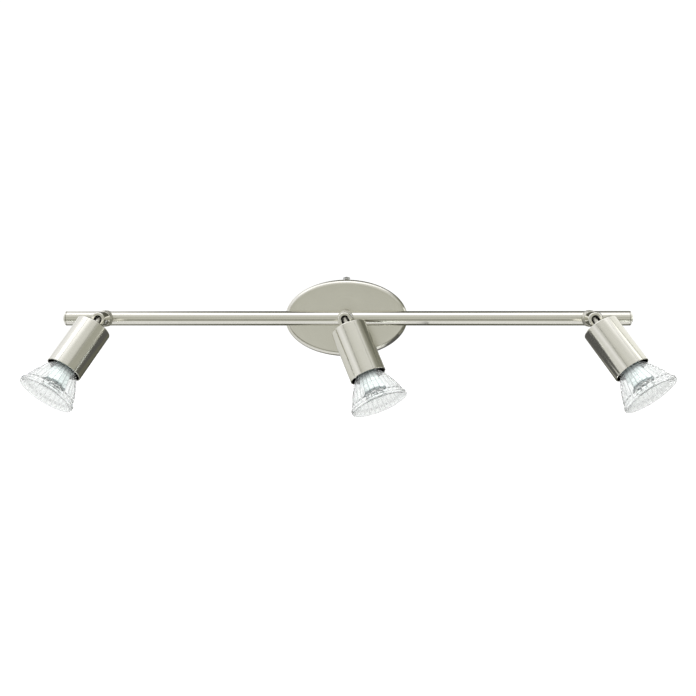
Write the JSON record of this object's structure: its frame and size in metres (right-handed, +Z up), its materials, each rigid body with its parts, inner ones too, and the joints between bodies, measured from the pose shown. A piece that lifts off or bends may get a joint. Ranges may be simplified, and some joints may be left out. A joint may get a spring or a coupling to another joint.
{
  "type": "track lighting fixture",
  "caption": "Wall or ceiling spot bar: a round tube on an oval canopy carries swivelling, tilting cylindrical lampholders with glass reflector lamps.",
  "frame": {"origin": "centre of the mounting bracket back face, on the wall", "axes": "+X along the bar to the right as seen from the room, +Y into the wall, -Y out into the room, +Z up"},
  "size_m": [0.5541, 0.1178, 0.1224],
  "materials": {
    "satin_nickel": "satin nickel plate, finely brushed",
    "zinc_plate": "bright zinc-plated steel",
    "screw_steel": "plain machine-screw steel",
    "brass": "bare brass",
    "terminal_plastic": "moulded polyamide",
    "lead_insulation": "silicone-sheathed lead",
    "ceramic": "unglazed steatite ceramic",
    "lamp_plastic": "white moulded lamp base",
    "capsule_white": "translucent white moulding",
    "board_green": "circuit board with light-emitting diodes",
    "clear_glass": "clear pressed glass"
  },
  "bodies": {
    "fixture": {"mounting_bracket": "zinc_plate", "canopy": "satin_nickel", "canopy_screw_top": "satin_nickel", "canopy_screw_bottom": "satin_nickel", "terminal_block": "terminal_plastic", "earth_screw": "brass", "bar_nipple": "zinc_plate", "nipple_nut": "zinc_plate", "bar_collar": "satin_nickel", "bar": "satin_nickel", "end_cap_left": "satin_nickel", "end_cap_right": "satin_nickel", "swivel_base_left": "satin_nickel", "lead_left": "lead_insulation", "swivel_base_middle": "satin_nickel", "lead_middle": "lead_insulation", "swivel_base_right": "satin_nickel", "lead_right": "lead_insulation"},
    "swivel_left": {"knuckle_left": "satin_nickel", "swivel_nut_left": "zinc_plate", "pivot_screw_left": "screw_steel"},
    "head_left": {"tongue_left": "satin_nickel", "tail_nut_left": "zinc_plate", "cup_left": "satin_nickel", "holder_strap_left": "zinc_plate", "lampholder_left": "ceramic"},
    "lamp_left": {"lamp_base_left": "lamp_plastic", "lamp_driver_left": "brass", "lamp_capsule_left": "capsule_white", "lamp_board_left": "board_green", "lamp_bowl_left": "clear_glass", "lamp_lens_left": "clear_glass"},
    "swivel_middle": {"knuckle_middle": "satin_nickel", "swivel_nut_middle": "zinc_plate", "pivot_screw_middle": "screw_steel"},
    "head_middle": {"tongue_middle": "satin_nickel", "tail_nut_middle": "zinc_plate", "cup_middle": "satin_nickel", "holder_strap_middle": "zinc_plate", "lampholder_middle": "ceramic"},
    "lamp_middle": {"lamp_base_middle": "lamp_plastic", "lamp_driver_middle": "brass", "lamp_capsule_middle": "capsule_white", "lamp_board_middle": "board_green", "lamp_bowl_middle": "clear_glass", "lamp_lens_middle": "clear_glass"},
    "swivel_right": {"knuckle_right": "satin_nickel", "swivel_nut_right": "zinc_plate", "pivot_screw_right": "screw_steel"},
    "head_right": {"tongue_right": "satin_nickel", "tail_nut_right": "zinc_plate", "cup_right": "satin_nickel", "holder_strap_right": "zinc_plate", "lampholder_right": "ceramic"},
    "lamp_right": {"lamp_base_right": "lamp_plastic", "lamp_driver_right": "brass", "lamp_capsule_right": "capsule_white", "lamp_board_right": "board_green", "lamp_bowl_right": "clear_glass", "lamp_lens_right": "clear_glass"}
  },
  "joints": [
    {"name": "swivel_left", "type": "hinge", "parent": "fixture", "child": "swivel_left", "pos_m": [-0.2177, -0.041, 0], "axis": [0, 1, 0], "range_deg": [-203.6, 146.4]},
    {"name": "tilt_left", "type": "hinge", "parent": "swivel_left", "child": "head_left", "pos_m": [-0.2177, -0.0534, 0], "axis": [0.878, 0, -0.4787], "range_deg": [-59.1, 24.9]},
    {"name": "lamp_twist_left", "type": "hinge", "parent": "head_left", "child": "lamp_left", "pos_m": [-0.23187, -0.07112, -0.02599], "axis": [-0.4107, -0.5135, -0.7534], "range_deg": [0, 25]},
    {"name": "swivel_middle", "type": "hinge", "parent": "fixture", "child": "swivel_middle", "pos_m": [0, -0.041, 0], "axis": [0, 1, 0], "range_deg": [-151.9, 198.1]},
    {"name": "tilt_middle", "type": "hinge", "parent": "swivel_middle", "child": "head_middle", "pos_m": [0, -0.0534, 0], "axis": [0.9198, 0, 0.3923], "range_deg": [-68.3, 15.7]},
    {"name": "lamp_twist_middle", "type": "hinge", "parent": "head_middle", "child": "lamp_middle", "pos_m": [0.01258, -0.06616, -0.02949], "axis": [0.3645, -0.3697, -0.8546], "range_deg": [0, 25]},
    {"name": "swivel_right", "type": "hinge", "parent": "fixture", "child": "swivel_right", "pos_m": [0.2177, -0.041, 0], "axis": [0, 1, 0], "range_deg": [-142.8, 207.2]},
    {"name": "tilt_right", "type": "hinge", "parent": "swivel_right", "child": "head_right", "pos_m": [0.2177, -0.0534, 0], "axis": [0.8462, 0, 0.5329], "range_deg": [-62.6, 21.4]},
    {"name": "lamp_twist_right", "type": "hinge", "parent": "head_right", "child": "lamp_right", "pos_m": [0.23402, -0.06928, -0.02592], "axis": [0.4731, -0.4602, -0.7513], "range_deg": [0, 25]}
  ]
}
